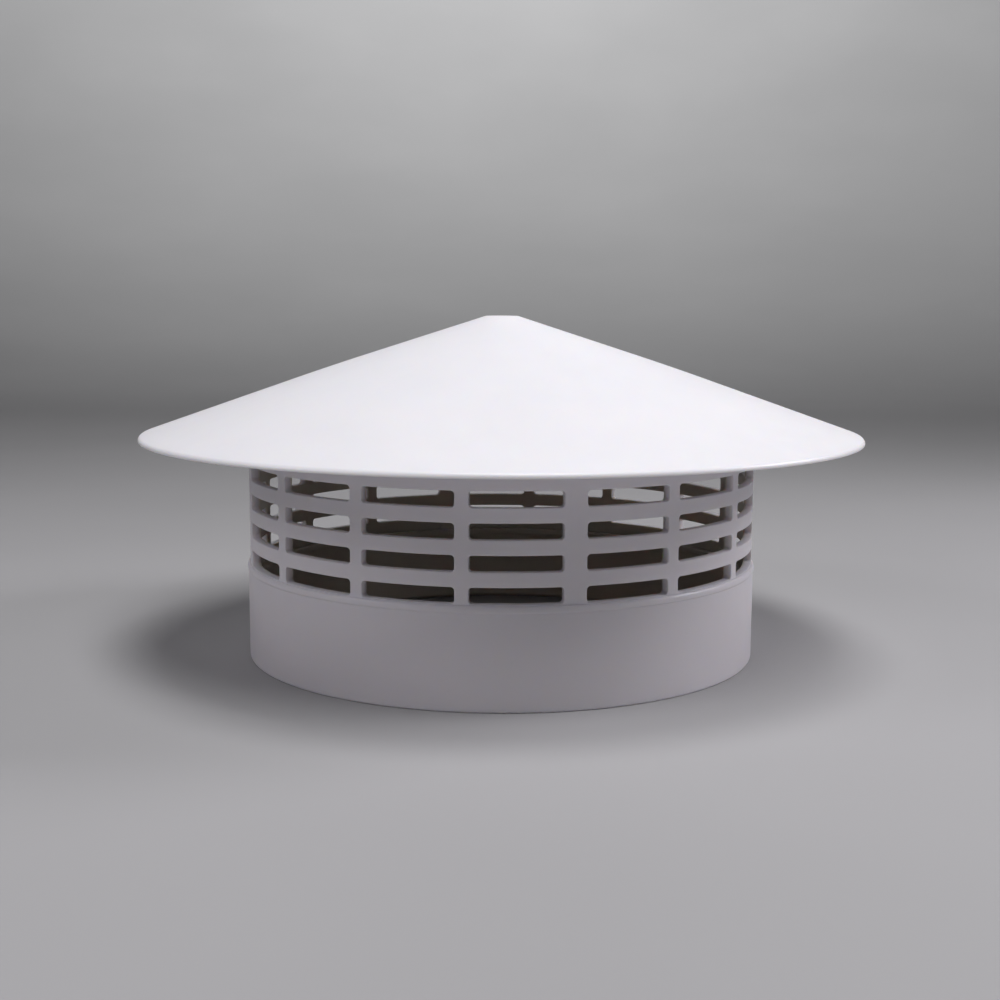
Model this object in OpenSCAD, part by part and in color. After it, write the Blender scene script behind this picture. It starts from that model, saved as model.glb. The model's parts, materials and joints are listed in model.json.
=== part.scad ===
// Conical rain-hood vent for a round duct, in hard white PVC.
// A collar slips over the pipe, a slotted cage stands on it, and a hood is screwed on top.
// Z is the axis of the duct, and the origin is the centre of the collar's foot.

/* [Collar] */
// Radius of the bore that slips over the pipe
bore_r = 80.2; // [80.1:0.1:80.3]
// Wall of the collar beside the pipe
collar_wall = 3.6; // [3.4:0.1:3.8]
// Height of the collar, from its foot to the top of its lip
collar_h = 31; // [30.5:0.1:31.2]
// Height of the pipe stop's lower face above the foot
stop_z = 25; // [20:1:26]
// How far the pipe stop stands in from the bore
stop_reach = 1.8; // [1:0.2:3]
// How far the rounded bead at the lip stands out
bead_proud = 0.25; // [0.1:0.05:0.4]

/* [Cage] */
// How far the cage's face lies inside the collar's face
face_step = 0.6; // [0.4:0.1:0.8]
// Wall of the cage
cage_wall = 2.8; // [2.4:0.1:2.9]
// Height of the cage's top edge above the foot
cage_top = 80; // [79:0.5:80.5]
// Rows of slots
slot_rows = 4; // [1:1:4]
// Height of one slot
slot_h = 4.75; // [3.5:0.25:5.5]
// Distance from one row of slots to the next
row_pitch = 9.15; // [8.5:0.05:9.2]
// Height of the lowest slot's sill above the foot
first_sill = 31.4; // [31.4:0.1:32]
// Radius of a slot's corners
slot_corner = 1.1; // [0.6:0.1:1.6]
// Width of the narrow ribs between slots
rib_w = 4.1; // [3:0.1:6]
// Width of the four wide posts
post_w = 6.8; // [5:0.2:9]

/* [Hood] */
// Radius of the hood's rim
rim_r = 117.8; // [112:0.2:125]
// Height of the flat top above the foot
apex_z = 110.8; // [110:0.2:112]
// Radius of the flat top
apex_r = 5.25; // [3:0.25:8]
// Radius at which the slope steepens a little
break_r = 56.4; // [40:0.4:70]
// Slope of the upper part of the hood, in degrees
upper_slope = 17.94; // [17.5:0.02:18.1]
// Slope of the lower part of the hood, in degrees
lower_slope = 19.37; // [19:0.01:19.6]
// Wall of the hood, measured upright
hood_wall = 2.3; // [2:0.1:2.6]
// Radius of the rounded edge of the rim
rim_round = 0.8; // [0.6:0.1:1]

/* [Screws] */
// Radius of the circle that the four screws stand on
screw_circle = 74.5; // [73.5:0.5:75]
// Core radius of a screw's shank
shank_r = 1.55; // [1.3:0.05:1.55]
// Length of a screw's shank
shank_l = 10.5; // [8:0.5:10.5]
// Radius of a screw's head
head_r = 3.75; // [3.25:0.25:4]
// Height of a screw's head
head_h = 2.6; // [2.2:0.2:3]

/* [Hidden] */
$fn = 120;

// Surplus that carries a cut clear of a face
over = 1;

// Collar
collar_r = bore_r + collar_wall;
stop_h = 2;
seat_z = stop_z + stop_h;
foot_chamfer = 1;
foot_edge = 0.5;
bead_r = 0.75;
lip_drop = 0.3;

// Cage
cage_r = collar_r - face_step;
cage_in = cage_r - cage_wall;
spigot_r = cage_in + 1.6;
spigot_gap = 0.1;
rebate_r = spigot_r + spigot_gap;
columns = 16;
posts = 4;
column_angle = 360 / columns;
columns_a_post = columns / posts;

// Keys under the wide posts, which stop the cage turning in the collar
key_w = 6;
key_h = 2.5;
key_gap = 0.15;

// Ears inside the cage's top, which carry the screws
ear_r = 6;
ear_t = 3;
ear_top = cage_top - 4;
ear_z = ear_top - ear_t;
ear_hole_r = 2.2;
gusset_t = 1.6;
gusset_y = 5.2;
gusset_drop = 8;
gusset_tip = 70.5;

// Hood
upper_tan = tan(upper_slope);
lower_tan = tan(lower_slope);
break_z = apex_z - (break_r - apex_r) * upper_tan;
rim_mid_r = rim_r - rim_round;
rim_mid_z = hood_z(rim_mid_r) - rim_round / cos(lower_slope);
rim_bottom = rim_mid_z - rim_round;
land_r = break_r + (break_z - hood_wall - rim_bottom) / lower_tan;
socket_gap = 0.2;
socket_in = cage_r + socket_gap;
socket_out = socket_in + 2;
socket_bottom = cage_top - 3.5;
seat_in = 77;
boss_r = 4.5;
pilot_r = 1.6;
pilot_h = 8;
hub_r = 9;
hub_bottom = 104;
gate_r = 3;
gate_h = 2;
stiffeners = 8;
stiffener_t = 1.8;
stiffener_start = [6, 106.2];

// Screws
tip_l = 1.4;
tip_r = 0.3;
dome_r = 5.4;
recess_w = 1.1;
recess_l = 4.4;
recess_h = 1.4;

pvc = "whitesmoke";
steel = "silver";

// Height of the hood's upper face at a radius
function hood_z(r) = r < break_r
    ? apex_z - max(r - apex_r, 0) * upper_tan
    : break_z - (r - break_r) * lower_tan;

// Height of the middle of the hood's wall, where whatever hangs under it is rooted
function root_z(r) = hood_z(r) - hood_wall / 2;

// Half the angle that a rib or a post takes
function rib_half(i) = asin((i % columns_a_post == 0 ? post_w : rib_w) / 2 / cage_r);

// Sets a flat outline upright on the XZ plane, t thick and centred on Y
module upright(t) {
    rotate([90, 0, 0])
        linear_extrude(height = t, center = true)
            children();
}

// A rectangle with rounded corners, centred
module rounded_rectangle(w, h, r) {
    square([w - 2 * r, h], center = true);
    square([w, h - 2 * r], center = true);
    for (x = [-1, 1], y = [-1, 1])
        translate([x * (w / 2 - r), y * (h / 2 - r)])
            circle(r = r);
}

// Half-section of the collar
module collar_section() {
    polygon([
        [bore_r + foot_chamfer, 0],
        [collar_r - foot_edge, 0],
        [collar_r, foot_edge],
        [collar_r, collar_h - bead_r],
        [collar_r - bead_r + bead_proud, collar_h - lip_drop],
        [collar_r - face_step, collar_h],
        [rebate_r, collar_h],
        [rebate_r, seat_z],
        [bore_r - stop_reach, seat_z],
        [bore_r - stop_reach, stop_z],
        [bore_r, stop_z],
        [bore_r, foot_chamfer]
    ]);
    translate([collar_r + bead_proud - bead_r, collar_h - lip_drop - bead_r])
        circle(r = bead_r);
}

module collar() {
    color(pvc) {
        rotate_extrude(convexity = 6)
            collar_section();
        for (i = [0 : posts - 1])
            rotate(i * 360 / posts)
                intersection() {
                    translate([cage_in, -key_w / 2, seat_z - over])
                        cube([rebate_r - cage_in + over, key_w, key_h + over]);
                    rotate_extrude(convexity = 4)
                        translate([cage_in, stop_z])
                            square([rebate_r - cage_in + over, collar_h - stop_z]);
                }
    }
}

// Cuts every slot of one column, between rib i and the next
module slot_column(i) {
    first = i * column_angle + rib_half(i);
    last = (i + 1) * column_angle - rib_half(i + 1);
    slot_w = 2 * cage_r * sin((last - first) / 2);
    rotate((first + last) / 2)
        for (row = [0 : slot_rows - 1])
            translate([cage_in - 8, 0, first_sill + slot_h / 2 + row * row_pitch])
                rotate([90, 0, 90])
                    linear_extrude(height = cage_wall + 12)
                        rounded_rectangle(slot_w, slot_h, slot_corner);
}

// One ear with its two gussets, on the +X side
module ear() {
    translate([screw_circle, 0, ear_z])
        cylinder(r = ear_r, h = ear_t);
    translate([screw_circle, -ear_r, ear_z])
        cube([cage_in - screw_circle + over, 2 * ear_r, ear_t]);
    for (side = [-1, 1])
        translate([0, side * gusset_y, 0])
            upright(gusset_t)
                polygon([
                    [gusset_tip, ear_z + over],
                    [gusset_tip, ear_z],
                    [cage_in + over, ear_z - gusset_drop],
                    [cage_in + over, ear_z + over]
                ]);
}

module cage() {
    color(pvc)
        difference() {
            union() {
                rotate_extrude(convexity = 6)
                    polygon([
                        [cage_in, seat_z],
                        [spigot_r, seat_z],
                        [spigot_r, collar_h],
                        [cage_r, collar_h],
                        [cage_r, cage_top],
                        [cage_in, cage_top]
                    ]);
                for (i = [0 : posts - 1])
                    rotate(i * 360 / posts)
                        ear();
            }
            for (i = [0 : columns - 1])
                slot_column(i);
            for (i = [0 : posts - 1])
                rotate(i * 360 / posts) {
                    translate([screw_circle, 0, ear_z - over])
                        cylinder(r = ear_hole_r, h = ear_t + 2 * over);
                    translate([cage_in - over, -key_w / 2 - key_gap, seat_z - over])
                        cube([spigot_r - cage_in + 2 * over, key_w + 2 * key_gap,
                              key_h + key_gap + over]);
                }
        }
}

// Half-section of the hood's shell with its rounded rim
module hood_section() {
    polygon([
        [0, apex_z],
        [apex_r, apex_z],
        [break_r, break_z],
        [rim_mid_r + rim_round * sin(lower_slope),
         rim_mid_z + rim_round * cos(lower_slope)],
        [rim_mid_r, rim_mid_z],
        [rim_mid_r, rim_bottom],
        [land_r, rim_bottom],
        [break_r, break_z - hood_wall],
        [apex_r, apex_z - hood_wall],
        [0, apex_z - hood_wall]
    ]);
    translate([rim_mid_r, rim_mid_z])
        circle(r = rim_round);
}

// Half-section of the ring that takes the cage's top edge
module socket_section() {
    polygon([
        [seat_in, root_z(seat_in)],
        [seat_in, cage_top],
        [socket_in, cage_top],
        [socket_in, socket_bottom],
        [socket_out, socket_bottom],
        [socket_out, root_z(socket_out)]
    ]);
}

// One stiffener under the hood, from the hub to the ring
module stiffener() {
    upright(stiffener_t)
        polygon([
            [stiffener_start[0], root_z(stiffener_start[0])],
            stiffener_start,
            [seat_in + over, cage_top],
            [seat_in + over, root_z(seat_in + over)],
            [break_r, root_z(break_r)]
        ]);
}

module hood() {
    color(pvc)
        difference() {
            union() {
                rotate_extrude(convexity = 6) {
                    hood_section();
                    socket_section();
                }
                translate([0, 0, hub_bottom])
                    cylinder(r = hub_r, h = root_z(hub_r) - hub_bottom);
                for (i = [0 : stiffeners - 1])
                    rotate(i * 360 / stiffeners)
                        stiffener();
                for (i = [0 : posts - 1])
                    rotate(i * 360 / posts)
                        translate([screw_circle, 0, ear_top])
                            cylinder(r = boss_r,
                                     h = root_z(screw_circle + boss_r) - ear_top);
            }
            translate([0, 0, hub_bottom - over])
                cylinder(r = gate_r, h = gate_h + over);
            for (i = [0 : posts - 1])
                rotate(i * 360 / posts)
                    translate([screw_circle, 0, ear_top - over])
                        cylinder(r = pilot_r, h = pilot_h + over);
        }
}

// A self-tapping pan-head screw, head down under an ear, turned to the side it stands on
module hood_screw(angle) {
    color(steel)
        rotate(angle)
            translate([screw_circle, 0, ear_z]) {
                difference() {
                    intersection() {
                        translate([0, 0, -head_h])
                            cylinder(r = head_r, h = head_h);
                        translate([0, 0, dome_r - head_h])
                            sphere(r = dome_r);
                    }
                    for (turn = [0, 90])
                        rotate(turn)
                            translate([-recess_l / 2, -recess_w / 2, -head_h - over])
                                cube([recess_l, recess_w, recess_h + over]);
                }
                cylinder(r = shank_r, h = shank_l - tip_l);
                translate([0, 0, shank_l - tip_l])
                    cylinder(r1 = shank_r, r2 = tip_r, h = tip_l);
            }
}

hood();
cage();
collar();
hood_screw(-90);  // hood_screw_front
hood_screw(0);  // hood_screw_right
hood_screw(90);  // hood_screw_back
hood_screw(180);  // hood_screw_left
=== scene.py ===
import json
import math

import bmesh
import bpy
from mathutils import Matrix, Vector


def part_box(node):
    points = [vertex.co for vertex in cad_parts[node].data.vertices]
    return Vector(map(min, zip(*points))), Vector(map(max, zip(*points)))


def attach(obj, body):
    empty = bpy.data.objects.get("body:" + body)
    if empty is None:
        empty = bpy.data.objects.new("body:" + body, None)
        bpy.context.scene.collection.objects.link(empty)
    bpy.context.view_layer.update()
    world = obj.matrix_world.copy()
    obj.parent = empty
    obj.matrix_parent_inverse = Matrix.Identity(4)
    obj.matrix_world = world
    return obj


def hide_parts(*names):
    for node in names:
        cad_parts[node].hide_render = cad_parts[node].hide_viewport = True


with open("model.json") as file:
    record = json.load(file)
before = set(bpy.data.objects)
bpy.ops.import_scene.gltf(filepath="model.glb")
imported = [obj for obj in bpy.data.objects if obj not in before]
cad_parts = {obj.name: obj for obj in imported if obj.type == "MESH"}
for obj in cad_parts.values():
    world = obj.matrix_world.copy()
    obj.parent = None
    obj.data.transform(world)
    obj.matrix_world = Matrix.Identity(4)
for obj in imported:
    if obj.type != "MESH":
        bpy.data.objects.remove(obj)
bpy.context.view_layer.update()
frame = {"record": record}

MM = 0.001
BODY = "root"

# Corner radii that many outlines share
FILLET = 0.9 * MM
SOFT_CORNER = 0.5 * MM
SMALL_CORNER = 0.3 * MM

# ---------------------------------------------------------------- sizes, in metres, from the frame

rim_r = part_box("hood")[1].x
apex_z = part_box("hood")[1].z
collar_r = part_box("collar")[1].x
collar_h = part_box("collar")[1].z
cage_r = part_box("cage")[1].x
cage_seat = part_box("cage")[0].z
cage_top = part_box("cage")[1].z
screw_low, screw_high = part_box("hood_screw_right")
screw_circle = (screw_low.x + screw_high.x) / 2
head_r = (screw_high.x - screw_low.x) / 2

pipe_socket = next(m for m in frame["record"]["mounts"] if m["name"] == "pipe_socket")
bore_r = pipe_socket["dims"]["r_mm"] * MM

# The cage, its slots and its posts
COLUMNS = 16
POSTS = 4
ROWS = 4
cage_wall = 2.8 * MM
cage_in = cage_r - cage_wall
spigot_r = cage_in + 1.6 * MM
rebate_r = spigot_r + 0.1 * MM
slot_h = 4.75 * MM
row_pitch = 9.15 * MM
first_sill = collar_h + 0.4 * MM
slot_corner = 1.1 * MM
slot_edge = 0.3 * MM
rib_w = 4.1 * MM
post_w = 6.8 * MM

# The ears inside the cage's top, which the screws pass through
ear_top = cage_top - 4 * MM
ear_z = ear_top - 3 * MM
ear_r = 6 * MM
ear_hole_r = 2.2 * MM

# The keys on the collar and the notches for them in the cage's foot
key_half = 3 * MM
key_h = 2.5 * MM
key_gap = 0.15 * MM

# The hood's outline
UPPER_SLOPE = math.tan(math.radians(17.94))
LOWER_SLOPE = math.tan(math.radians(19.37))
apex_r = 5.25 * MM
break_r = 56.4 * MM
break_z = apex_z - (break_r - apex_r) * UPPER_SLOPE
hood_wall = 2.3 * MM
rim_round = 1.35 * MM
rim_under = 0.35 * MM

# The ring under the hood that holds the cage, and the hub with its moulding gate
socket_in = cage_r + 0.2 * MM
socket_out = socket_in + 2 * MM
socket_z = cage_top - 3.5 * MM
seat_in = 77 * MM
hub_r = 9 * MM
hub_z = 104 * MM
gate_r = 3 * MM
gate_z = hub_z + 2 * MM


def hood_height(r):
    """Height of the hood's upper face at a radius."""
    if r < break_r:
        return apex_z - max(r - apex_r, 0) * UPPER_SLOPE
    return break_z - (r - break_r) * LOWER_SLOPE


# ---------------------------------------------------------------- outlines

def rounded(corners, step=15, guard=0.12 * MM, closed=True):
    """An outline through corners (x, y, radius), each with its radius as a true arc.

    A guard point beyond each end of an arc keeps smooth shading off the flat stretch beside it.
    """
    points = []
    count = len(corners)
    for i, (x, y, radius) in enumerate(corners):
        here = Vector((x, y))
        if radius <= 0 or (not closed and i in (0, count - 1)):
            points.append((x, y))
            continue
        before = Vector(corners[i - 1][:2])
        after = Vector(corners[(i + 1) % count][:2])
        to_before, to_after = (before - here), (after - here)
        space = min(to_before.length, to_after.length)
        to_before.normalize()
        to_after.normalize()
        opening = to_before.angle(to_after)
        reach = radius / math.tan(opening / 2)
        middle = here + (to_before + to_after).normalized() * radius / math.sin(opening / 2)
        start = here + to_before * reach
        turn = math.pi - opening
        sign = 1 if (-to_before).cross(to_after) > 0 else -1
        steps = max(2, math.ceil(math.degrees(turn) / step))
        guarded = space > 2 * (reach + guard)
        if guarded:
            points.append(tuple(start + to_before * guard))
        arm = start - middle
        for k in range(steps + 1):
            angle = sign * turn * k / steps
            c, s = math.cos(angle), math.sin(angle)
            points.append((middle.x + arm.x * c - arm.y * s, middle.y + arm.x * s + arm.y * c))
        if guarded:
            points.append(tuple(here + to_after * (reach + guard)))
    return points


def between(a, b, pieces):
    """Points that divide the line from a to b, ends left out."""
    return [a + (b - a) * k / pieces for k in range(1, pieces)]


# ---------------------------------------------------------------- meshes

# Edges that turn by more than this many degrees stay sharp
SHARP = 32


def finish_mesh(bm, name, sharp=SHARP):
    """Turns a bmesh into an object of the scene, smooth except at turns of more than sharp degrees."""
    bmesh.ops.remove_doubles(bm, verts=bm.verts, dist=1e-7)
    bmesh.ops.recalc_face_normals(bm, faces=bm.faces)
    mesh = bpy.data.meshes.new(name)
    bm.to_mesh(mesh)
    bm.free()
    shade(mesh, sharp)
    piece = bpy.data.objects.new(name, mesh)
    bpy.context.scene.collection.objects.link(piece)
    return piece


def shade(mesh, sharp):
    """Smooth shading, with sharp edges where the surface turns by more than sharp degrees."""
    mesh.polygons.foreach_set("use_smooth", [True] * len(mesh.polygons))
    mesh.set_sharp_from_angle(angle=math.radians(sharp))
    mesh.update()


def lathe(bm, outline, segments, closed=True):
    """Revolves an outline of (radius, height) points about Z."""
    rings = []
    for r, z in outline:
        if r < 1e-7:
            rings.append([bm.verts.new((0, 0, z))] * segments)
            continue
        ring = []
        for k in range(segments):
            a = 2 * math.pi * k / segments
            ring.append(bm.verts.new((r * math.cos(a), r * math.sin(a), z)))
        rings.append(ring)
    pairs = list(zip(rings, rings[1:]))
    if closed:
        pairs.append((rings[-1], rings[0]))
    for lower, upper in pairs:
        for k in range(segments):
            n = (k + 1) % segments
            corners = []
            for vert in (lower[k], lower[n], upper[n], upper[k]):
                if vert not in corners:
                    corners.append(vert)
            if len(corners) > 2:
                bm.faces.new(corners)


def prism(name, outline, low, high, edge, place):
    """A closed prism over a flat outline, its sharp edges rounded, set in place by a matrix."""
    bm = bmesh.new()
    base = [bm.verts.new((x, y, low)) for x, y in outline]
    top = [bm.verts.new((x, y, high)) for x, y in outline]
    bm.faces.new(list(reversed(base)))
    bm.faces.new(top)
    for k in range(len(outline)):
        n = (k + 1) % len(outline)
        bm.faces.new((base[k], base[n], top[n], top[k]))
    bmesh.ops.recalc_face_normals(bm, faces=bm.faces)
    if edge > 0:
        least_turn = math.radians(30)
        sharp = [e for e in bm.edges if e.calc_face_angle(0) > least_turn]
        bmesh.ops.bevel(bm, geom=sharp, offset=edge, segments=3, profile=0.5, affect="EDGES")
    bmesh.ops.transform(bm, matrix=place, verts=bm.verts)
    return finish_mesh(bm, name)


def weld(mesh):
    """Merges the nearly equal points that a boolean leaves, with the slivers between them."""
    bm = bmesh.new()
    bm.from_mesh(mesh)
    bmesh.ops.remove_doubles(bm, verts=bm.verts, dist=1e-6)
    bm.to_mesh(mesh)
    bm.free()


def combine(piece, tools):
    """Joins tools to a piece or cuts them from it, and removes them. tools holds (object, operation)."""
    for tool, operation in tools:
        change = piece.modifiers.new(tool.name, "BOOLEAN")
        change.object = tool
        change.operation = operation
        change.solver = "MANIFOLD"
    graph = bpy.context.evaluated_depsgraph_get()
    graph.update()
    mesh = bpy.data.meshes.new_from_object(piece.evaluated_get(graph))
    weld(mesh)
    piece.modifiers.clear()
    old = piece.data
    piece.data = mesh
    mesh.name = piece.name
    bpy.data.meshes.remove(old)
    for tool, _ in tools:
        used = tool.data
        bpy.data.objects.remove(tool)
        bpy.data.meshes.remove(used)
    shade(mesh, SHARP)
    return piece


def about_z(angle, x=0.0, z=0.0):
    """Moves out along X and up, then turns about Z by an angle in radians."""
    return Matrix.Rotation(angle, 4, "Z") @ Matrix.Translation((x, 0, z))


POST_ANGLES = [k * 2 * math.pi / POSTS for k in range(POSTS)]
UPRIGHT = Matrix.Rotation(math.pi / 2, 4, "X")


# ---------------------------------------------------------------- the hood

def hood_outline():
    """The hood's section, from its top centre out round the rim and back under to the hub's centre."""
    rim_mid_r = rim_r - rim_round
    rim_mid_z = hood_height(rim_mid_r) - rim_round * math.hypot(1, LOWER_SLOPE)
    rim_bottom = rim_mid_z - rim_under
    land_r = break_r + (break_z - hood_wall - rim_bottom) / LOWER_SLOPE
    # The slope steepens over a gentle stretch, as one parabola tangent to both slopes
    soft = 12 * MM
    arc_steps = 8
    bend = []
    for k in range(arc_steps + 1):
        t = k / arc_steps
        r = break_r - soft + 2 * soft * t
        z = hood_height(break_r - soft) - 2 * soft * t * (
            UPPER_SLOPE + (LOWER_SLOPE - UPPER_SLOPE) * t / 2)
        bend.append((r, z))
    apex_round = 2.4 * MM
    outer = [(0, apex_z)]
    outer += rounded([
        (apex_r * 0.3, apex_z, 0),
        (apex_r, apex_z, apex_round),
        (break_r - soft, hood_height(break_r - soft), 0),
    ], step=3, closed=False)[:-1]
    outer += [(r, hood_height(r)) for r in between(apex_r + 2 * MM, break_r - soft, 8)]
    outer += bend
    edge_start = rim_mid_r + rim_round * LOWER_SLOPE / math.hypot(1, LOWER_SLOPE)
    guard_r = edge_start - 0.3 * MM
    outer += [(r, hood_height(r)) for r in between(break_r + soft, guard_r - 0.1 * MM, 10)]
    outer.append((guard_r, hood_height(guard_r)))
    # The nose of the rim: a wide arc down to its widest point, then a tight one underneath
    first = 90 - math.degrees(math.atan(LOWER_SLOPE))
    for k in range(arc_steps + 1):
        a = math.radians(first * (1 - k / arc_steps))
        outer.append((rim_mid_r + rim_round * math.cos(a), rim_mid_z + rim_round * math.sin(a)))
    nose_steps = 6
    for k in range(1, nose_steps + 1):
        a = math.radians(-90 * k / nose_steps)
        outer.append((rim_r + rim_under * (math.cos(a) - 1), rim_mid_z + rim_under * math.sin(a)))

    def under(r):
        return hood_height(r) - hood_wall

    inner = rounded([
        (rim_mid_r - 0.3 * MM, rim_bottom, 0),
        (land_r, rim_bottom, 0.6 * MM),
        (socket_out, under(socket_out), FILLET),
        (socket_out, socket_z, SOFT_CORNER),
        (socket_in, socket_z, SOFT_CORNER),
        (socket_in, cage_top, SMALL_CORNER),
        (seat_in, cage_top, SOFT_CORNER),
        (seat_in, under(seat_in), FILLET),
        (break_r, under(break_r), 6 * MM),
        (hub_r, under(hub_r), 0.8 * MM),
        (hub_r, hub_z, SOFT_CORNER),
        (gate_r, hub_z, SMALL_CORNER),
        (gate_r, gate_z, SMALL_CORNER),
        (0, gate_z, 0),
    ], closed=False)
    return outer + inner


def stiffener(angle):
    """One upright rib under the hood, from the hub to the ring that holds the cage."""
    def root(r):
        return hood_height(r) - hood_wall / 2

    start_r = 6 * MM
    start_z = 106.2 * MM
    end_r = seat_in + 1 * MM
    half_t = 0.9 * MM
    outline = [
        (start_r, root(start_r)),
        (start_r, start_z),
        (end_r, cage_top + 0.01 * MM),
        (end_r, root(end_r)),
        (break_r, root(break_r)),
    ]
    place = Matrix.Rotation(angle, 4, "Z") @ UPRIGHT
    return prism("stiffener", outline, -half_t, half_t, SMALL_CORNER, place)


def boss(angle):
    """The round boss that a screw bites into."""
    foot_r = 4.5 * MM
    root_r = 4.9 * MM
    root_z = ear_top + 10 * MM
    bm = bmesh.new()
    outline = rounded([
        (0, ear_top, 0),
        (foot_r, ear_top, 0.4 * MM),
        (root_r, root_z, 0),
        (0, root_z, 0),
    ], closed=False)
    lathe(bm, outline, 48, closed=False)
    bmesh.ops.transform(bm, matrix=about_z(angle, screw_circle), verts=bm.verts)
    return finish_mesh(bm, "boss")


def pilot(angle):
    """The blind hole up a boss, with a small lead-in."""
    hole_r = 1.6 * MM
    lead = 0.5 * MM
    bm = bmesh.new()
    lathe(bm, [
        (0, ear_top - lead),
        (hole_r + 2 * lead, ear_top - lead),
        (hole_r, ear_top + lead),
        (hole_r, ear_top + 7.6 * MM),
        (0, ear_top + 8 * MM),
    ], 40, closed=False)
    bmesh.ops.transform(bm, matrix=about_z(angle, screw_circle), verts=bm.verts)
    return finish_mesh(bm, "pilot")


def make_hood():
    """The hood: a turned shell with its stiffeners, bosses and pilot holes."""
    bm = bmesh.new()
    lathe(bm, hood_outline(), 320, closed=False)
    piece = finish_mesh(bm, "rain_hood")
    stiffeners = 8
    tools = [(stiffener(k * 2 * math.pi / stiffeners), "UNION") for k in range(stiffeners)]
    tools += [(boss(a), "UNION") for a in POST_ANGLES]
    tools += [(pilot(a), "DIFFERENCE") for a in POST_ANGLES]
    return combine(piece, tools)


# ---------------------------------------------------------------- the cage

def rib_half(i):
    """Half the angle that rib i takes, wide on the four posts."""
    width = post_w if i % (COLUMNS // POSTS) == 0 else rib_w
    return math.asin(width / 2 / cage_r)


# How many mesh steps a slot has round each corner, along it and up its short sides
CORNER_STEPS = 8
ALONG = 12
UP = 2


def slot_loop(first, last, sill, head, spread):
    """The rim of a slot, grown by spread, as (angle, height) points from the sill's left end round."""
    corner = slot_corner + spread
    first_s, last_s = first * cage_r - spread, last * cage_r + spread
    sill, head = sill - spread, head + spread
    sides = [
        ((first_s + corner, sill), (last_s - corner, sill), ALONG),
        ((last_s, sill + corner), (last_s, head - corner), UP),
        ((last_s - corner, head), (first_s + corner, head), ALONG),
        ((first_s, head - corner), (first_s, sill + corner), UP),
    ]
    middles = [
        (last_s - corner, sill + corner), (last_s - corner, head - corner),
        (first_s + corner, head - corner), (first_s + corner, sill + corner),
    ]
    loop = []
    for side, ((x0, y0), (x1, y1), pieces) in enumerate(sides):
        for k in range(pieces + 1):
            loop.append((x0 + (x1 - x0) * k / pieces, y0 + (y1 - y0) * k / pieces))
        cx, cy = middles[side]
        start = -math.pi / 2 + side * math.pi / 2
        for k in range(1, CORNER_STEPS):
            a = start + math.pi / 2 * k / CORNER_STEPS
            loop.append((cx + corner * math.cos(a), cy + corner * math.sin(a)))
    return [(s / cage_r, z) for s, z in loop]


def cell_loop(first, last, sill, head, left, right, low, high):
    """The edge of the cell round a slot, with one point for each point of slot_loop."""
    c = slot_corner
    x0, x1 = first * cage_r + c, last * cage_r - c
    y0, y1 = sill + c, head - c
    left, right = left * cage_r, right * cage_r
    half = CORNER_STEPS // 2
    loop = []

    def run(a, b, pieces, ends):
        """A straight run of points, with or without its two ends."""
        for k in range(0 if ends else 1, pieces + (1 if ends else 0)):
            t = k / pieces
            loop.append((a[0] + (b[0] - a[0]) * t, a[1] + (b[1] - a[1]) * t))

    def corner(a, tip, b):
        """The way round a corner of the cell, from a over the tip to b."""
        run(a, tip, half, False)
        loop.append(tip)
        run(tip, b, half, False)

    run((x0, low), (x1, low), ALONG, True)
    corner((x1, low), (right, low), (right, y0))
    run((right, y0), (right, y1), UP, True)
    corner((right, y1), (right, high), (x1, high))
    run((x1, high), (x0, high), ALONG, True)
    corner((x0, high), (left, high), (left, y1))
    run((left, y1), (left, y0), UP, True)
    corner((left, y0), (left, low), (x0, low))
    return [(s / cage_r, z) for s, z in loop]


def cage_band(bm, column, heights):
    """Plain wall round one column: the strip through the given (radius, height) points."""
    rows = [[bm.verts.new((r * math.cos(a), r * math.sin(a), z)) for a in column]
            for r, z in heights]
    for lower, upper in zip(rows, rows[1:]):
        for k in range(len(column) - 1):
            bm.faces.new((lower[k], lower[k + 1], upper[k + 1], upper[k]))


def bridge(bm, loop_a, loop_b):
    """A strip of faces between two closed loops with the same number of points."""
    count = len(loop_a)
    for k in range(count):
        n = (k + 1) % count
        bm.faces.new((loop_a[k], loop_a[n], loop_b[n], loop_b[k]))


def on_wall(bm, loop, r):
    """The points of an (angle, height) loop on a cylinder."""
    return [bm.verts.new((r * math.cos(a), r * math.sin(a), z)) for a, z in loop]


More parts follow.
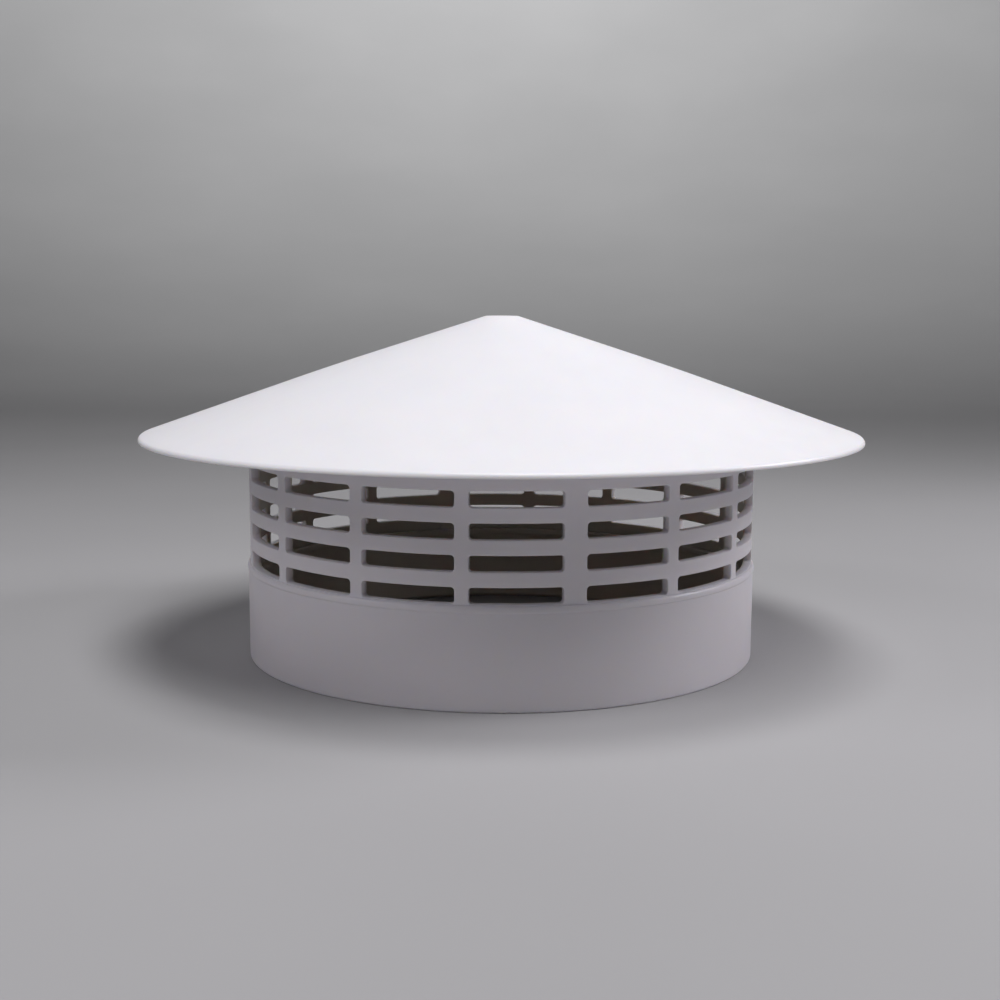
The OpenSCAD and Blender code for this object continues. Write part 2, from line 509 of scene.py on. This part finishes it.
def cage_column(bm, i):
    """A sixteenth of the cage: its four slots with rounded edges, and the plain wall over and under."""
    pitch = 2 * math.pi / COLUMNS
    left, right = i * pitch, (i + 1) * pitch
    first, last = left + rib_half(i), right - rib_half(i + 1)
    low = collar_h
    for row in range(ROWS):
        sill = first_sill + row * row_pitch
        head = sill + slot_h
        high = head + (row_pitch - slot_h) / 2
        edge = cell_loop(first, last, sill, head, left, right, low, high)
        # A guard ring keeps the plain wall's shading flat, and middle is halfway round the rounded edge
        guard = slot_edge + 0.08 * MM
        middle = slot_edge * (1 - math.sqrt(0.5))
        through = [
            (guard, cage_r), (slot_edge, cage_r), (middle, cage_r - middle), (0, cage_r - slot_edge),
            (0, cage_in + slot_edge), (middle, cage_in + middle), (slot_edge, cage_in), (guard, cage_in),
        ]
        walls = [on_wall(bm, edge, cage_r)]
        walls += [on_wall(bm, slot_loop(first, last, sill, head, spread), r) for spread, r in through]
        walls.append(on_wall(bm, edge, cage_in))
        for a, b in zip(walls, walls[1:]):
            bridge(bm, a, b)
        low = high

    # The plain bands over and under the slots take their points from the cells' edges
    c = slot_corner / cage_r
    half = CORNER_STEPS // 2
    along = [left + (first + c - left) * k / half for k in range(half)]
    along += [first + c + (last - first - 2 * c) * k / ALONG for k in range(ALONG + 1)]
    along += [last - c + (right - last + c) * k / half for k in range(1, half + 1)]
    round_top = 0.4 * MM
    top = rounded([
        (cage_r, low, 0), (cage_r, cage_top, round_top),
        (cage_in, cage_top, round_top), (cage_in, low, 0),
    ], step=30, closed=False)
    cage_band(bm, along, top)
    cage_band(bm, along, rounded([
        (cage_in, collar_h, 0), (cage_in, cage_seat, SMALL_CORNER),
        (spigot_r, cage_seat, SMALL_CORNER), (spigot_r, collar_h, 0), (cage_r, collar_h, 0),
    ], step=30, closed=False))


def ear_tools(angle):
    """The plate and two gussets inside the cage's top that carry one screw."""
    # Both reach this far into the cage's wall and into each other
    overlap = 1 * MM
    wall = cage_in + overlap - screw_circle
    plate = [(wall, -ear_r), (wall, ear_r)]
    end_steps = 24
    for k in range(end_steps + 1):
        a = math.pi / 2 + math.pi * k / end_steps
        plate.append((ear_r * math.cos(a), ear_r * math.sin(a)))
    tools = [(prism("ear", plate, ear_z, ear_top, 0.35 * MM, about_z(angle, screw_circle)), "UNION")]
    tip_r = 70.5 * MM
    drop = 8 * MM
    web = [
        (tip_r, ear_z + overlap), (tip_r, ear_z),
        (cage_in + overlap, ear_z - drop), (cage_in + overlap, ear_z + overlap),
    ]
    aside = 5.2 * MM
    half_t = 0.8 * MM
    for side in (-aside, aside):
        place = Matrix.Rotation(angle, 4, "Z") @ Matrix.Translation((0, side, 0)) @ UPRIGHT
        tools.append((prism("gusset", web, -half_t, half_t, 0.25 * MM, place), "UNION"))
    return tools


def ear_hole(angle):
    """The hole through an ear, with a 45 degree lead-in at each end."""
    below = ear_z - 1 * MM
    above = ear_top + 0.6 * MM
    lower_edge = ear_z + 0.3 * MM
    upper_edge = ear_top - 0.2 * MM
    bm = bmesh.new()
    lathe(bm, [
        (0, below), (ear_hole_r + lower_edge - below, below), (ear_hole_r, lower_edge),
        (ear_hole_r, upper_edge), (ear_hole_r + above - upper_edge, above), (0, above),
    ], 40, closed=False)
    bmesh.ops.transform(bm, matrix=about_z(angle, screw_circle), verts=bm.verts)
    return finish_mesh(bm, "ear_hole")


def block(inner, outer, half):
    """A rectangle along the X axis, from inner to outer, half wide on each side."""
    return [(inner, -half), (outer, -half), (outer, half), (inner, half)]


def key_notch(angle):
    """The notch in the cage's spigot that drops over one of the collar's keys."""
    outline = block(cage_in - 1 * MM, spigot_r + 0.5 * MM, key_half + key_gap)
    place = Matrix.Rotation(angle, 4, "Z")
    return prism("key_notch", outline, cage_seat - 1 * MM, cage_seat + key_h + key_gap, 0, place)


def make_cage():
    """The cage: its columns of slots, the ears with their holes, and the key notches."""
    bm = bmesh.new()
    for i in range(COLUMNS):
        cage_column(bm, i)
    piece = finish_mesh(bm, "slotted_cage")
    tools = []
    for a in POST_ANGLES:
        tools += ear_tools(a)
    tools += [(ear_hole(a), "DIFFERENCE") for a in POST_ANGLES]
    tools += [(key_notch(a), "DIFFERENCE") for a in POST_ANGLES]
    return combine(piece, tools)


# ---------------------------------------------------------------- the collar

def make_collar():
    """The collar: a turned ring with a pipe stop inside, and a rebate and four keys for the cage."""
    # The bead stands this far proud of the wall, and a quarter ellipse takes it in to the cage
    bead = 0.25 * MM
    lip_w = collar_r - cage_r
    lip_h = 1.55 * MM
    stop_r = bore_r - 1.8 * MM
    stop_z = 25 * MM
    lead = 1 * MM
    lip = [(cage_r + lip_w * math.cos(t), collar_h - lip_h * (1 - math.sin(t)), 0)
           for t in (math.radians(a) for a in range(0, 91, 15))]
    outline = rounded([
        (bore_r + lead, 0, 0.2 * MM),
        (collar_r - bead, 0, SOFT_CORNER),
        (collar_r - bead, collar_h - 2.15 * MM, 0.15 * MM),
        (collar_r, collar_h - 1.85 * MM, 0.2 * MM),
        *lip,
        (rebate_r, collar_h, 0),
        (rebate_r, cage_seat, 0),
        (stop_r, cage_seat, 0.4 * MM),
        (stop_r, stop_z, 0.4 * MM),
        (bore_r, stop_z, SMALL_CORNER),
        (bore_r, lead, SMALL_CORNER),
    ])
    bm = bmesh.new()
    lathe(bm, outline, 288)
    piece = finish_mesh(bm, "pipe_collar")
    overlap = 0.5 * MM
    key_outline = block(cage_in, rebate_r + overlap, key_half)
    tools = []
    for a in POST_ANGLES:
        place = Matrix.Rotation(a, 4, "Z")
        key = prism("key", key_outline, cage_seat - overlap, cage_seat + key_h, 0.2 * MM, place)
        tools.append((key, "UNION"))
    return combine(piece, tools)


# ---------------------------------------------------------------- the screws

def make_screw(name, angle):
    """A pan-head self-tapping screw, head down under its ear."""
    head_h = 2.6 * MM
    core = 1.5 * MM
    crest = 1.95 * MM
    pitch = 1.4 * MM
    length = 10.5 * MM
    tip = 1.8 * MM
    point_share = 0.12
    run_in = 1.2 * MM
    ridge_half = 0.22
    around = 48

    # The head: a dome with a rounded rim, flat underneath out to the shank
    dome = 5.4 * MM
    dome_steps = 12
    rim = 0.25 * MM
    shank_root = crest + 0.3 * MM
    edge_z = dome - head_h - math.sqrt(dome ** 2 - (head_r - rim) ** 2)
    outline = [(0, -head_h)]
    for k in range(1, dome_steps + 1):
        r = (head_r - rim) * k / dome_steps
        outline.append((r, dome - head_h - math.sqrt(dome ** 2 - r ** 2)))
    outline += [
        (head_r - 0.08 * MM, edge_z + 0.12 * MM), (head_r, edge_z + 0.3 * MM),
        (head_r, -rim), (head_r - 0.07 * MM, -0.08 * MM), (head_r - rim, 0),
        (shank_root, 0),
    ]
    bm = bmesh.new()
    lathe(bm, outline, around, closed=False)

    # The shank, ring by ring, with the thread's ridge winding up it and a taper at its tip
    turns = [2 * math.pi * n / around for n in range(around)]
    last = [bm.verts.new((shank_root * math.cos(a), shank_root * math.sin(a), 0)) for a in turns]
    steps = 150
    for k in range(steps + 1):
        z = length * k / steps
        taper = min(1.0, (length - z) / tip)
        start = min(1.0, z / run_in)
        ring = []
        for n, a in enumerate(turns):
            phase = (z / pitch - n / around) % 1
            ridge = max(0.0, 1 - abs(phase - 0.5) / ridge_half)
            r = (core + (crest - core) * ridge * start) * (point_share + (1 - point_share) * taper)
            ring.append(bm.verts.new((r * math.cos(a), r * math.sin(a), z)))
        bridge(bm, last, ring)
        last = ring
    point = bm.verts.new((0, 0, length + 0.05 * MM))
    for n in range(around):
        bm.faces.new((last[n], last[(n + 1) % around], point))
    bmesh.ops.transform(bm, matrix=about_z(angle, screw_circle, ear_z), verts=bm.verts)
    piece = finish_mesh(bm, name)

    # The cross recess, left at a chance angle as a driven screw is
    stop_turn = 0.35
    arm = 2.1 * MM
    arm_half = 0.5 * MM
    recess = 1.4 * MM
    cross = block(-arm, arm, arm_half)
    tools = []
    for turn in (0, math.pi / 2):
        place = about_z(angle, screw_circle, ear_z) @ Matrix.Rotation(turn + stop_turn, 4, "Z")
        slot = prism("cross", cross, -head_h - 1 * MM, -head_h + recess, 0.12 * MM, place)
        tools.append((slot, "DIFFERENCE"))
    return combine(piece, tools)


# ---------------------------------------------------------------- materials

def node(tree, kind, inputs=None, **settings):
    """Adds a node, sets its options and its inputs, and wires those that are sockets."""
    made = tree.nodes.new(kind)
    for key, value in settings.items():
        setattr(made, key, value)
    for key, value in (inputs or {}).items():
        if isinstance(value, bpy.types.NodeSocket):
            tree.links.new(value, made.inputs[key])
        else:
            made.inputs[key].default_value = value
    return made


def ramp(tree, value, stops):
    """A colour looked up from a value, through (position, colour) stops."""
    made = node(tree, "ShaderNodeValToRGB", {"Fac": value})
    elements = made.color_ramp.elements
    while len(elements) < len(stops):
        elements.new(0.5)
    for element, (at, colour) in zip(elements, stops):
        element.position = at
        element.color = (*colour, 1)
    return made.outputs["Color"]


def level(tree, value, low, high, to_low, to_high):
    """A value carried smoothly from one range to another."""
    return node(tree, "ShaderNodeMapRange", {
        "Value": value, "From Min": low, "From Max": high, "To Min": to_low, "To Max": to_high,
    }, interpolation_type="SMOOTHSTEP").outputs["Result"]


def noise(tree, where, scale, detail=3.0, rough=0.5):
    """Fractal noise, with about scale features to each unit of where."""
    return node(tree, "ShaderNodeTexNoise", {
        "Vector": where, "Scale": scale, "Detail": detail, "Roughness": rough,
    }).outputs["Fac"]


def maths(tree, operation, a, b=0.0):
    """One step of arithmetic."""
    return node(tree, "ShaderNodeMath", {0: a, 1: b}, operation=operation).outputs[0]


def edge_mask(tree, radius):
    """One along sharp corners and zero on open faces.

    It reads how far a normal rounded over the radius leans off the true one.
    """
    rounded_normal = node(tree, "ShaderNodeBevel", {"Radius": radius}, samples=4).outputs["Normal"]
    true_normal = node(tree, "ShaderNodeNewGeometry").outputs["Normal"]
    lean = node(tree, "ShaderNodeVectorMath", {0: rounded_normal, 1: true_normal},
                operation="DOT_PRODUCT").outputs["Value"]
    return level(tree, lean, 0.97, 0.8, 0.0, 1.0)


def tinted(tree, colour, amount, tint):
    """A colour carried towards another by an amount that varies over the surface."""
    return node(tree, "ShaderNodeMix", {0: amount, "A": colour, "B": (*tint, 1)},
                data_type="RGBA").outputs["Result"]


def white_pvc(name, tint, rough_low, rough_high):
    """Hard moulded PVC: satin, faintly mottled, with a fine orange-peel skin, scuffed along its edges.

    Inside the duct the colour is painted warmer and darker: painted shade, for the dim warm light that
    comes through the plastic.
    """
    material = bpy.data.materials.new(name)
    material.use_nodes = True
    tree = material.node_tree
    shader = tree.nodes["Principled BSDF"]
    where = node(tree, "ShaderNodeTexCoord").outputs["Object"]
    axes = node(tree, "ShaderNodeSeparateXYZ", {"Vector": where})

    mottle = noise(tree, where, scale=28, detail=4)
    speck = noise(tree, where, scale=900, detail=2)
    scuffs = noise(tree, where, scale=420, detail=5, rough=0.65)
    colour = ramp(tree, mottle, [
        (0.3, tuple(c * 0.975 for c in tint)), (0.7, tint),
    ])
    speck_grey = (0.55, 0.53, 0.5)
    colour = tinted(tree, colour, level(tree, speck, 0.62, 0.8, 0.0, 0.06), speck_grey)
    radius = maths(tree, "SQRT", maths(
        tree, "ADD", maths(tree, "MULTIPLY", axes.outputs["X"], axes.outputs["X"]),
        maths(tree, "MULTIPLY", axes.outputs["Y"], axes.outputs["Y"])))
    # inside is one on the duct's inner faces below the cage's top, where the colour gets painted warm
    # shade
    inside = maths(tree, "MULTIPLY",
                   level(tree, radius, cage_in + 0.2 * MM, cage_in + 0.9 * MM, 1.0, 0.0),
                   level(tree, axes.outputs["Z"], cage_top - 1 * MM, cage_top, 1.0, 0.0))
    painted_warm_shade = (0.72, 0.65, 0.5)
    colour = tinted(tree, colour, maths(tree, "MULTIPLY", inside, 0.7), painted_warm_shade)
    wear = maths(tree, "MULTIPLY", edge_mask(tree, 0.45 * MM), level(tree, scuffs, 0.42, 0.66, 0.0, 1.0))
    scuffed_grey = (0.62, 0.6, 0.57)
    colour = tinted(tree, colour, maths(tree, "MULTIPLY", wear, 0.22), scuffed_grey)
    tree.links.new(colour, shader.inputs["Base Color"])

    flow = noise(tree, where, scale=160, detail=5, rough=0.6)
    swirl = level(tree, flow, 0.3, 0.7, rough_low, rough_high)
    rough = maths(tree, "ADD", swirl, maths(tree, "MULTIPLY", wear, 0.14))
    tree.links.new(rough, shader.inputs["Roughness"])

    peel = noise(tree, where, scale=2600, detail=2, rough=0.5)
    waves = noise(tree, where, scale=70, detail=2, rough=0.4)
    small = node(tree, "ShaderNodeBump", {
        "Height": peel, "Distance": 0.012 * MM, "Strength": 0.5,
    }).outputs["Normal"]
    large = node(tree, "ShaderNodeBump", {
        "Height": waves, "Distance": 0.07 * MM, "Strength": 0.5, "Normal": small,
    }).outputs["Normal"]
    tree.links.new(large, shader.inputs["Normal"])

    shader.inputs["IOR"].default_value = 1.53
    shader.inputs["Subsurface Weight"].default_value = 0.3
    shader.inputs["Subsurface Radius"].default_value = (1.0, 0.72, 0.45)
    shader.inputs["Subsurface Scale"].default_value = 3 * MM
    return material


def stainless():
    """Cold-headed stainless steel: bright, with fine drawn lines and a little tarnish."""
    material = bpy.data.materials.new("stainless_steel")
    material.use_nodes = True
    tree = material.node_tree
    shader = tree.nodes["Principled BSDF"]
    where = node(tree, "ShaderNodeTexCoord").outputs["Object"]
    stretched = node(tree, "ShaderNodeMapping", {"Vector": where, "Scale": (900, 900, 9000)}).outputs[0]
    lines = noise(tree, stretched, scale=1.0, detail=3)
    tarnish = noise(tree, where, scale=700, detail=4)
    tree.links.new(ramp(tree, tarnish, [(0.35, (0.6, 0.58, 0.55)), (0.65, (0.74, 0.73, 0.72))]),
                   shader.inputs["Base Color"])
    tree.links.new(level(tree, lines, 0.3, 0.7, 0.22, 0.42), shader.inputs["Roughness"])
    bump = node(tree, "ShaderNodeBump", {"Height": lines, "Distance": 0.01 * MM, "Strength": 0.4})
    tree.links.new(bump.outputs["Normal"], shader.inputs["Normal"])
    shader.inputs["Metallic"].default_value = 1.0
    return material


def paint(piece, material):
    """Gives a piece its material."""
    piece.data.materials.clear()
    piece.data.materials.append(material)


# ---------------------------------------------------------------- the studio

def make_stage():
    """A pale floor that sweeps up into a plain backdrop."""
    material = bpy.data.materials.new("pale_floor")
    material.use_nodes = True
    tree = material.node_tree
    shader = tree.nodes["Principled BSDF"]
    where = node(tree, "ShaderNodeTexCoord").outputs["Object"]
    cloud = noise(tree, where, scale=3, detail=3)
    tree.links.new(ramp(tree, cloud, [(0.3, (0.38, 0.38, 0.385)), (0.7, (0.41, 0.41, 0.415))]),
                   shader.inputs["Base Color"])
    shader.inputs["Roughness"].default_value = 0.75

    flat_r = 1.1
    sweep = 2.4
    height = 4.5
    bm = bmesh.new()
    lathe(bm, [(0, 0), (flat_r, 0)]
          + [(flat_r + sweep * math.sin(math.radians(a)), sweep - sweep * math.cos(math.radians(a)))
             for a in range(4, 92, 4)]
          + [(flat_r + sweep, height)], 96, closed=False)
    floor = finish_mesh(bm, "studio_floor", 60)
    floor.data.materials.append(material)


def aim(thing, target):
    """Turns a lamp, which shines down its own Z axis, to a target."""
    thing.rotation_mode = "QUATERNION"
    thing.rotation_quaternion = (Vector(target) - thing.location).to_track_quat("-Z", "Y")


def soft_light(name, place, target, size, power, colour, spread=180):
    """A round softbox: its diameter in metres, power in watts and spread in degrees."""
    lamp = bpy.data.lights.new(name, "AREA")
    lamp.shape = "DISK"
    lamp.size = size
    lamp.energy = power
    lamp.color = colour
    lamp.spread = math.radians(spread)
    thing = bpy.data.objects.new(name, lamp)
    bpy.context.scene.collection.objects.link(thing)
    thing.location = place
    aim(thing, target)


# The photograph's viewpoint: how far out from the axis, how high, and how the camera is turned
VIEW_AZIMUTH = math.radians(-14.8)
VIEW_DISTANCE = 0.4894
VIEW_HEIGHT = 0.1185
VIEW_PITCH = math.radians(8.027)
VIEW_YAW = math.radians(-0.043)
VIEW_ROLL = math.radians(0.259)
SENSOR = 36
FOCAL = 1.4737 * SENSOR


def turned(vector):
    """A direction given for a viewer looking along +Y, turned to where the viewer stands."""
    return Matrix.Rotation(VIEW_AZIMUTH, 3, "Z") @ Vector(vector)


def make_camera():
    lens = bpy.data.cameras.new("camera")
    lens.sensor_width = SENSOR
    lens.lens = FOCAL
    lens.clip_start = 0.01
    lens.clip_end = 50
    camera = bpy.data.objects.new("camera", lens)
    bpy.context.scene.collection.objects.link(camera)
    flat = math.cos(VIEW_PITCH)
    forward = turned((math.sin(VIEW_YAW) * flat, math.cos(VIEW_YAW) * flat, -math.sin(VIEW_PITCH)))
    right = turned((math.cos(VIEW_YAW), -math.sin(VIEW_YAW), 0))
    up = right.cross(forward)
    tilt_c, tilt_s = math.cos(VIEW_ROLL), math.sin(VIEW_ROLL)
    right, up = right * tilt_c + up * tilt_s, up * tilt_c - right * tilt_s
    place = turned((0, -VIEW_DISTANCE, VIEW_HEIGHT))
    camera.matrix_world = Matrix((
        (right.x, up.x, -forward.x, place.x),
        (right.y, up.y, -forward.y, place.y),
        (right.z, up.z, -forward.z, place.z),
        (0, 0, 0, 1),
    ))
    bpy.context.scene.camera = camera


def make_lights():
    """Two keys, above and over the viewer's shoulder, a weak fill each side, and a backdrop wash."""
    middle = (0, 0, 0.06)
    key_white = (1, 0.985, 1)
    side_white = (0.98, 0.95, 1)
    soft_light("key_above", turned((0.04, -0.12, 1.3)), middle, 0.5, 6.1, key_white)
    soft_light("key_front", turned((0.19, -0.59, 1.14)), middle, 0.5, 5.4, key_white)
    soft_light("side_right", turned((0.86, 0.12, 0.56)), middle, 0.45, 1.15, side_white, 90)
    soft_light("side_left", turned((-0.75, -0.35, 0.6)), middle, 0.45, 0.5, side_white, 90)
    soft_light("backdrop_wash", turned((0, 1.2, 2.6)), turned((0, 3.6, 0.9)), 0.8, 34, (1, 1, 1), 120)
    world = bpy.data.worlds.new("studio_air")
    world.use_nodes = True
    air = world.node_tree.nodes["Background"]
    air.inputs["Color"].default_value = (0.94, 0.95, 1, 1)
    air.inputs["Strength"].default_value = 0.04
    bpy.context.scene.world = world


# ---------------------------------------------------------------- the scene

make_camera()
hood_pvc = white_pvc("hood_pvc", (0.9, 0.895, 0.925), 0.34, 0.46)
# The cage and collar are the same white PVC as the hood; their darker, greyer tint is painted shade for
# the hood's shadow over them
body_pvc_painted_shade = white_pvc("body_pvc_painted_shade", (0.78, 0.75, 0.785), 0.36, 0.5)
steel = stainless()

hood = make_hood()
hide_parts("hood")
paint(hood, hood_pvc)

cage = make_cage()
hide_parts("cage")
paint(cage, body_pvc_painted_shade)

collar = make_collar()
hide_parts("collar")
paint(collar, body_pvc_painted_shade)

for part in (hood, cage, collar):
    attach(part, BODY)

for side, turn in (("front", -90), ("right", 0), ("back", 90), ("left", 180)):
    screw = make_screw("screw_" + side, math.radians(turn))
    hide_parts("hood_screw_" + side)
    paint(screw, steel)
    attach(screw, BODY)

make_stage()
make_lights()
bpy.context.scene.view_settings.view_transform = "Standard"
